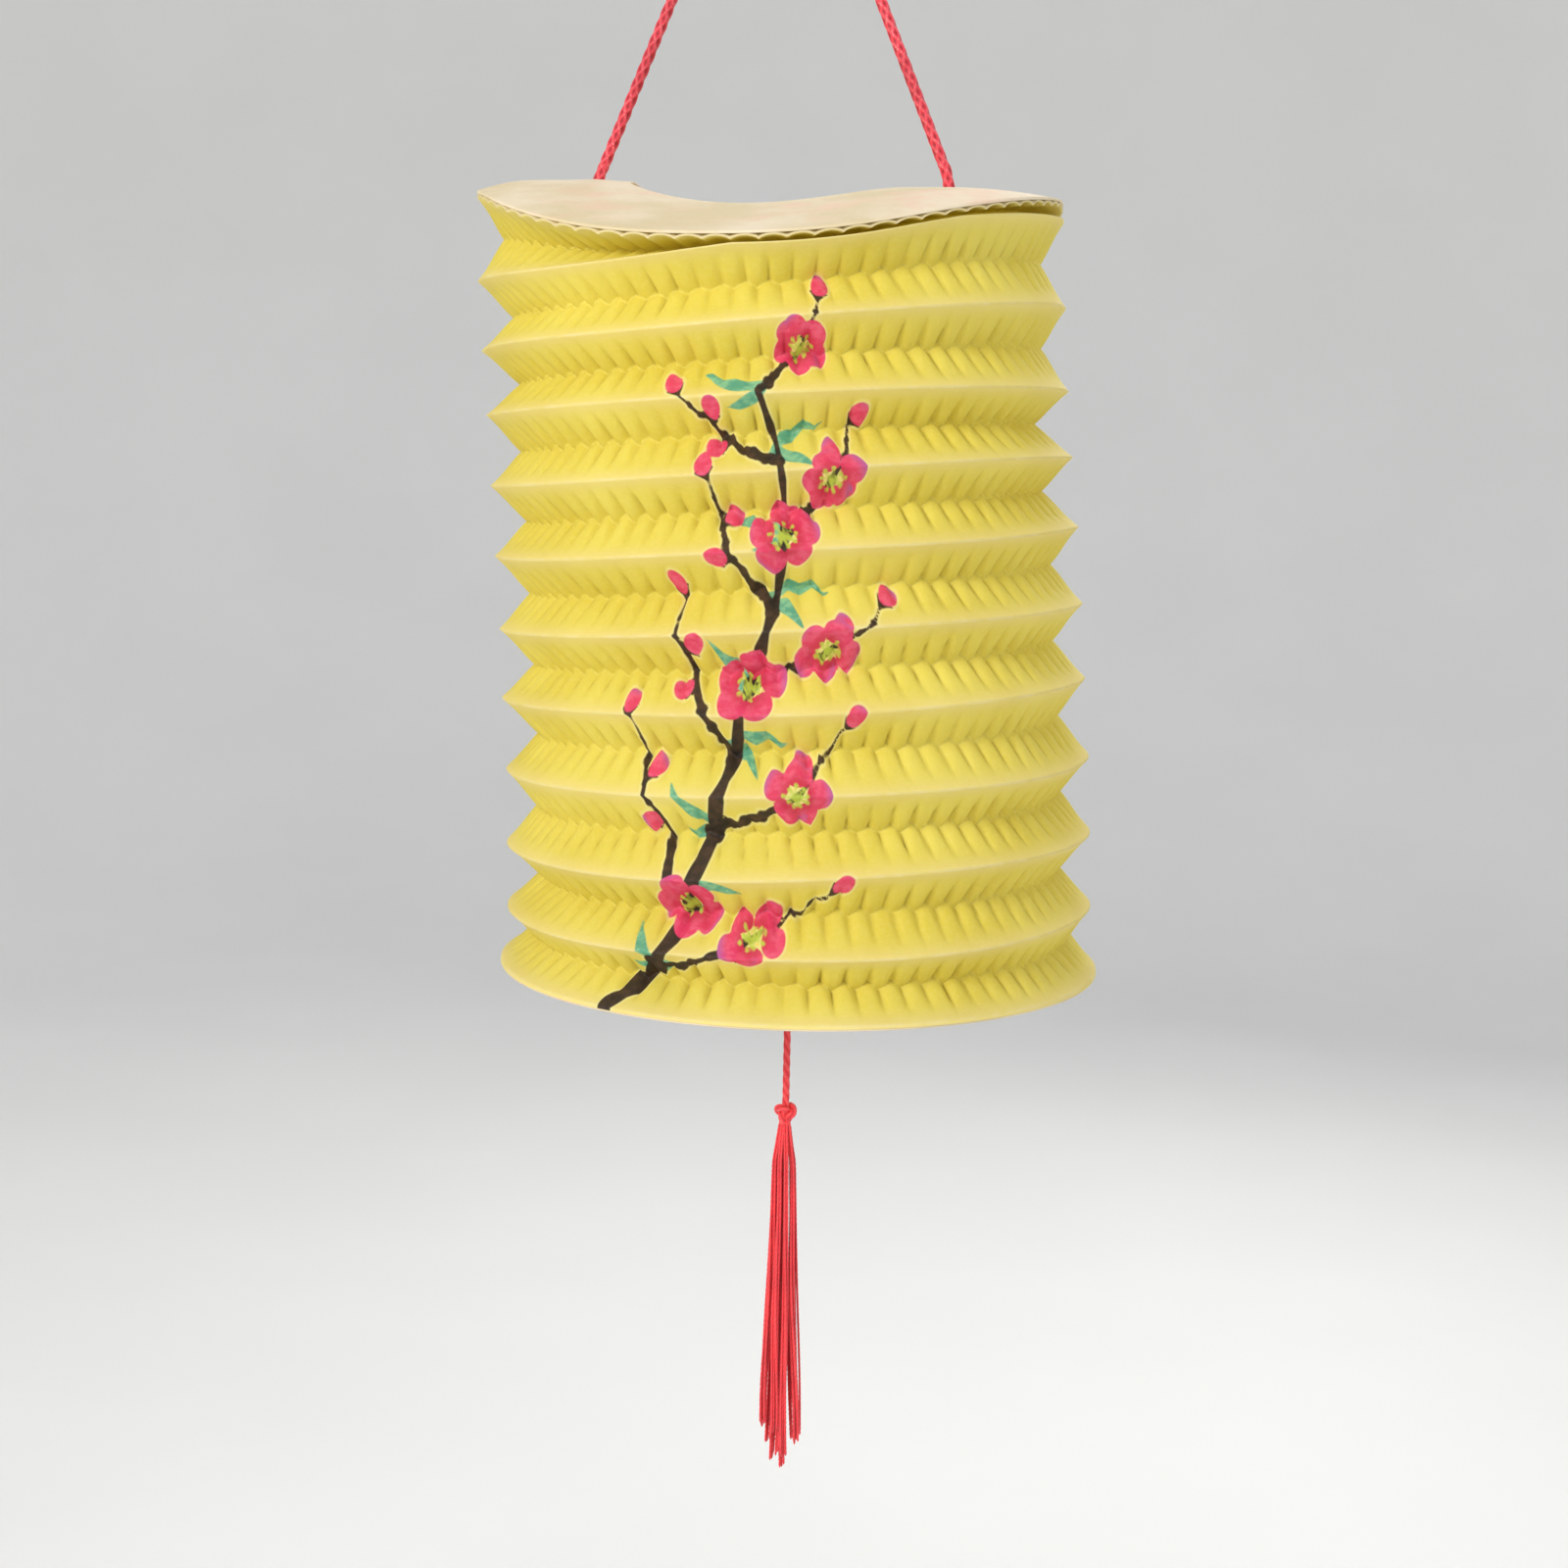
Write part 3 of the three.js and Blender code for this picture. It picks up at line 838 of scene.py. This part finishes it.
def add_ring():
    cord_hole = CORD_R + 0.3
    holes = [(0, RING_HOLE_R, 200), (-CORD_HOLE_X, cord_hole, 24), (CORD_HOLE_X, cord_hole, 24)]

    def bend(x, y):
        away = np.minimum(np.hypot(x - CORD_HOLE_X, y), np.hypot(x + CORD_HOLE_X, y))
        pulled = CORD_PULL * np.exp(-((away / PULL_WIDTH) ** 2))
        return RING_Z + ring_bend(x, y) + pulled - PULL_ROOM

    piece = card_sheet("top_ring_card", RING_R, holes, 3.2, CARD - PULL_ROOM, bend, CARD_LOOK)
    piece.data.transform(Matrix.Rotation(CORD_TURN, 4, "Z"))
    soften_edges(piece, 0.2)
    ride_and_replace(piece, "lantern_top", "card", "top_ring")
    squash_with_fold(piece)


def add_disc():
    holes = [(LINE_PIVOT[0] - DISC_X, LINE_R + 0.3, 20)]
    piece = card_sheet(
        "bottom_disc_card", DISC_R, holes, 6.0, DISC_Z - DISC_LOW[2],
        lambda x, y: np.full_like(x, DISC_Z), CARD_LOOK,
    )
    piece.data.transform(Matrix.Translation((DISC_X * MM, 0, 0)))
    soften_edges(piece, 0.3)
    ride_and_replace(piece, "lantern_base", "card", "bottom_disc")


# ---- Cords ---------------------------------------------------------------------------------------
def even_points(points, spacing):
    """Points along a line at even distances."""
    points = np.asarray(points, float)
    steps = np.linalg.norm(np.diff(points, axis=0), axis=1)
    far = np.concatenate([[0], np.cumsum(steps)])
    count = max(2, round(far[-1] / spacing) + 1)
    wanted = np.linspace(0, far[-1], count)
    return np.column_stack([np.interp(wanted, far, points[:, k]) for k in range(3)])


def frames_along(points):
    """A side and an up vector at each point, turned as little as possible from one to the next."""
    along = np.gradient(points, axis=0)
    along /= np.linalg.norm(along, axis=1)[:, None]
    side = np.cross(along[0], (0.0, 1.0, 0.05))
    if np.linalg.norm(side) < 0.1:
        side = np.cross(along[0], (1.0, 0.0, 0.0))
    sides = []
    for t in along:
        side = side - t * (side @ t)
        side /= np.linalg.norm(side)
        sides.append(side)
    sides = np.array(sides)
    return sides, np.cross(along, sides)


def braid_height(turn, far, radius):
    """Height of a braid's surface, from 0 in a groove to 1 on a ply: plies cross to the left and right."""
    lay = far / (0.85 * radius)
    left, right = np.abs(np.cos(2 * turn + lay)), np.abs(np.cos(2 * turn - lay))
    return np.maximum(left**2.2, 0.85 * right**2.2)


def twist_height(turn, far, radius):
    """Height of a twisted thread's surface: three plies wound round each other."""
    return np.abs(np.cos(1.5 * (turn + far / (1.5 * radius))))


def yarn_shape(route, radius, height_of, depth, sides, spacing, round_ends):
    """A tube of yarn along a route: its points, faces, ply heights and even centreline."""
    points = even_points(route, spacing)
    side, up = frames_along(points)
    far = np.linspace(0, np.linalg.norm(np.diff(points, axis=0), axis=1).sum(), len(points))
    turn = np.arange(sides) * 2 * math.pi / sides
    rings, raised = [], []
    for i, centre in enumerate(points):
        height = height_of(turn, far[i], radius)
        size = radius * (1 - depth + depth * height)
        if round_ends:
            from_end = min(far[i], far[-1] - far[i])
            size = size * math.sqrt(max(0.02, 1 - max(0, 1 - from_end / radius) ** 2))
        outward = np.cos(turn)[:, None] * side[i] + np.sin(turn)[:, None] * up[i]
        rings.append(centre + size[:, None] * outward)
        raised.append(height)
    faces = grid_faces(len(points), sides)
    last = (len(points) - 1) * sides
    faces.append(tuple(reversed(range(sides))))
    faces.append(tuple(range(last, last + sides)))
    return np.vstack(rings), faces, np.concatenate(raised), points


def yarn(name, routes, radius, height_of, look, depth=0.2, sides=24, spacing=0.4, round_ends=True):
    """One mesh of yarns along one or more routes."""
    vertices, faces, raised = [], [], []
    count = 0
    for route in routes:
        shape = yarn_shape(route, radius, height_of, depth, sides, spacing, round_ends)
        vertices.append(shape[0])
        faces += [tuple(i + count for i in face) for face in shape[1]]
        raised.append(shape[2])
        count += len(shape[0])
    piece = make_mesh(name, np.vstack(vertices), faces, look)
    point_values(piece, "raised", np.concatenate(raised))
    return piece


TREFOIL_POINTS = 90


def trefoil(centre, wide, high):
    """The closed path of a tight overhand knot."""
    t = np.arange(TREFOIL_POINTS + 1) * 2 * math.pi / TREFOIL_POINTS
    x = (np.sin(t) + 2 * np.sin(2 * t)) / 3
    y = (np.cos(t) - 2 * np.cos(2 * t)) / 3
    z = -np.sin(3 * t)
    return np.column_stack([centre[0] + wide * x, centre[1] + high * 0.55 * z, centre[2] + wide * y])


def cord_x(z):
    """How far out the taut hanging cord is at a height."""
    return CORD_HOLE_X - CORD_SLOPE * (z - RING_Z)


def hanging_route():
    """The hanging cord: up from the left hole, through the knot, round the loop and down to the right.

    Each end runs on past its pivot by the cord's radius, so that the cord and its neck meet in a ball."""
    loop_z = CORD_R - LOOP_BEND
    leg_lean = math.asin(LOOP_BEND / (loop_z - KNOT_Z))
    arc = np.linspace(math.pi + leg_lean, -leg_lean, 40)
    loop = [(LOOP_BEND * math.cos(a), 0, loop_z + LOOP_BEND * math.sin(a)) for a in arc]
    knot = np.array((0, 0, KNOT_Z))
    ends = []
    for side in (-1, 1):
        foot = np.array((side * cord_x(ROCK[2]), 0, ROCK[2]))
        down = (foot - knot) / np.linalg.norm(foot - knot)
        ends.append(foot + CORD_R * down)
    return turned([ends[0], knot, *loop, knot, ends[1]])


def add_hanging_cord():
    route = even_points(hanging_route(), 1.0)
    piece = yarn("hanging_cord_braided", [route], BRAID_R, braid_height, BRAID, depth=0.28)
    ride_and_replace(
        piece, "suspension", "cord_braid", "hanging_cord_left", "hanging_cord_right", "hanging_loop"
    )
    tied = turned(trefoil((0, 0, KNOT_Z), 3.0, 2.6))
    knot = yarn("loop_knot_tied", [tied], BRAID_R, braid_height, BRAID, depth=0.28, round_ends=False)
    ride_and_replace(knot, "suspension", "cord_braid", "loop_knot")


def add_tied_knot(name, node, height, neck, radius, height_of, look, slot, body, size=0.0):
    """An overhand knot where the cord is stopped, and its neck: a route from the knot past the pivot."""
    low, high = node_box(node)
    x, y = (low[0] + high[0]) / 2, (low[1] + high[1]) / 2
    wide = size or (high[0] - low[0]) / 2 - radius * 0.55
    tied = trefoil((x, y, height), wide, wide * 0.9)
    knot = yarn(name, [tied], radius, height_of, look, round_ends=False)
    stem = yarn(name + "_neck", [neck], radius, height_of, look)
    ride_and_replace(knot, body, slot, node)
    ride_and_replace(stem, body, slot)


def stopper_neck(side, low):
    """The hanging cord's last stretch: up through its hole, then in line with the taut cord."""
    points = [(CORD_HOLE_X, 0, low), (CORD_HOLE_X, 0, low + 2.0)]
    points += [(cord_x(z), 0, z) for z in (ROCK[2] - 2.0, ROCK[2], ROCK[2] + CORD_R)]
    return turned(smooth_line(points, 8) * (side, 1, 1))


def add_knots():
    for name, side in (("left", -1), ("right", 1)):
        low = RING_Z - CARD + float(ring_bend(side * CORD_HOLE_X, 0.0)) - 2.9
        add_tied_knot(
            f"stopper_knot_{name}_tied", f"stopper_knot_{name}", low, stopper_neck(side, low), BRAID_R,
            braid_height, BRAID, "cord_braid", "lantern_top",
        )
    x, _, z = LINE_PIVOT
    low = DISC_Z + 2.5
    add_tied_knot(
        "tassel_stopper_tied", "tassel_stopper_knot", low, [(x, 0, low), (x, 0, z - LINE_R)], LINE_R,
        twist_height, THREAD, "tassel_thread", "lantern_base",
    )


# ---- Tassel --------------------------------------------------------------------------------------
STRAND_RINGS = (
    # strands, radius at the head, radius at the ends, turn
    (3, 0.92, 1.7, 0.5),
    (9, 2.6, 4.9, 0.0),
)
STRAND_LENGTHS = (93, 90, 87, 84, 86, 90, 87, 82, 79, 81, 88, 85)
STRAND_TOP = HEAD_LOW[2] - 0.3
THREADS = 4  # fine threads in each strand
THREAD_R = 0.34


def add_tassel_cord():
    x = LINE_PIVOT[0]
    ends = [(x, 0, LINE_PIVOT[2] + LINE_R), (x, 0, HEAD_PIVOT[2] - LINE_R)]
    route = even_points(ends, 1.0)
    piece = yarn("tassel_cord_twisted", [route], LINE_R, twist_height, THREAD)
    ride_and_replace(piece, "tassel_line", "tassel_thread", "tassel_cord")


def strand_line(top_r, end_r, angle, length):
    """The middle of one strand: gathered in the head, then out and down with a slight sway."""
    head_z = (HEAD_LOW[2] + HEAD_PIVOT[2]) / 2
    wave, wave_turn = rng.uniform(0.15, 0.5), rng.uniform(0, 2 * math.pi)
    points = [(HEAD_PIVOT[0] + 0.4 * math.cos(angle), 0.4 * math.sin(angle), head_z - 1)]
    for t in np.linspace(0, 1, 40):
        r = (0.5 + 0.5 * min(1, t * 9)) * top_r + (end_r - top_r) * t**1.4
        a = angle + 0.12 * t
        sway = wave * math.sin(2 * math.pi * 1.3 * t + wave_turn) * t
        x = HEAD_PIVOT[0] + r * math.cos(a) + sway
        points.append((x, r * math.sin(a) + 0.6 * sway, STRAND_TOP - length * t))
    return even_points(points, 1.0)


def thread_lines(line):
    """One thread along a strand's middle and others round it that spread towards its end, cut unevenly."""
    lines = []
    share = np.linspace(0, 1, len(line))
    for k in range(THREADS):
        angle = 2 * math.pi * k / THREADS + rng.uniform(-0.4, 0.4) + 2.5 * share
        spread = 0.5 + rng.uniform(0.15, 0.6) * share**1.5 if k else 0.1 * share
        own = np.column_stack([spread * np.cos(angle), spread * np.sin(angle), 0 * share])
        kept = len(line) - (rng.integers(0, 2) if k else 0)
        lines.append((line + own)[:kept])
    return lines


def add_tassel():
    x, _, z = HEAD_PIVOT
    low = (HEAD_LOW[2] + z) / 2 - 0.8
    add_tied_knot(
        "tassel_head_tied", "tassel_head_knot", low, [(x, 0, low), (x, 0, z + LINE_R)], LINE_R, twist_height,
        THREAD, "tassel_thread", "tassel", size=2.4,
    )
    number = 0
    for count, top_r, end_r, turn in STRAND_RINGS:
        for i in range(count):
            line = strand_line(top_r, end_r, 2 * math.pi * (i + turn) / count, STRAND_LENGTHS[number])
            number += 1
            node = f"tassel_strand_{number:02d}"
            lines = thread_lines(line)
            piece = yarn(
                node + "_threads", lines, THREAD_R, twist_height, THREAD, depth=0.3, sides=8, spacing=0.6
            )
            ride_and_replace(piece, "tassel", "tassel_thread", node)


# ---- Stage ---------------------------------------------------------------------------------------
def add_stage():
    """A round pale floor that curves up into a wall, well clear of the lantern."""
    floor_z, flat_r, curve, wall = -950.0, 2600.0, 1500.0, 3200.0
    profile = [(0.0, floor_z), (flat_r, floor_z)]
    for a in np.linspace(0, math.pi / 2, 14)[1:]:
        profile.append((flat_r + curve * math.sin(a), floor_z + curve * (1 - math.cos(a))))
    profile.append((flat_r + curve, floor_z + curve + wall))
    columns = 96
    turn = np.arange(columns) * 2 * math.pi / columns
    points = []
    for r, z in profile:
        points += [(r * math.cos(a), r * math.sin(a), z) for a in turn]
    floor = make_mesh("studio_floor", points, grid_faces(len(profile), columns), floor_look())


def add_light(name, place, size, power, colour):
    light = bpy.data.lights.new(name, "AREA")
    light.shape = "DISK"
    light.size = size
    light.energy = power
    light.color = colour
    made = bpy.data.objects.new(name, light)
    made.location = place
    aim = Vector((0, 0, -0.25)) - Vector(place)
    made.rotation_euler = aim.to_track_quat("-Z", "Y").to_euler()
    bpy.context.scene.collection.objects.link(made)


def add_lights():
    add_light("key", (-1.2, -1.6, 0.5), 0.9, 36, (1.0, 0.97, 0.92))
    add_light("fill", (1.6, -1.2, 0.1), 1.4, 10, (0.95, 0.98, 1.0))
    add_light("back", (0.6, 1.6, 0.6), 1.2, 16, (1.0, 0.98, 0.95))
    world = bpy.data.worlds.new("studio")
    world.use_nodes = True
    world.node_tree.nodes["Background"].inputs["Color"].default_value = (0.95, 0.97, 1.0, 1.0)
    world.node_tree.nodes["Background"].inputs["Strength"].default_value = 0.72
    bpy.context.scene.world = world
    bpy.context.scene.view_settings.view_transform = "Standard"


# ---- Build ---------------------------------------------------------------------------------------
add_hanging_cord()
add_tassel_cord()
add_tassel()
add_knots()
add_bellows()
add_ring()
add_disc()
add_stage()
add_lights()
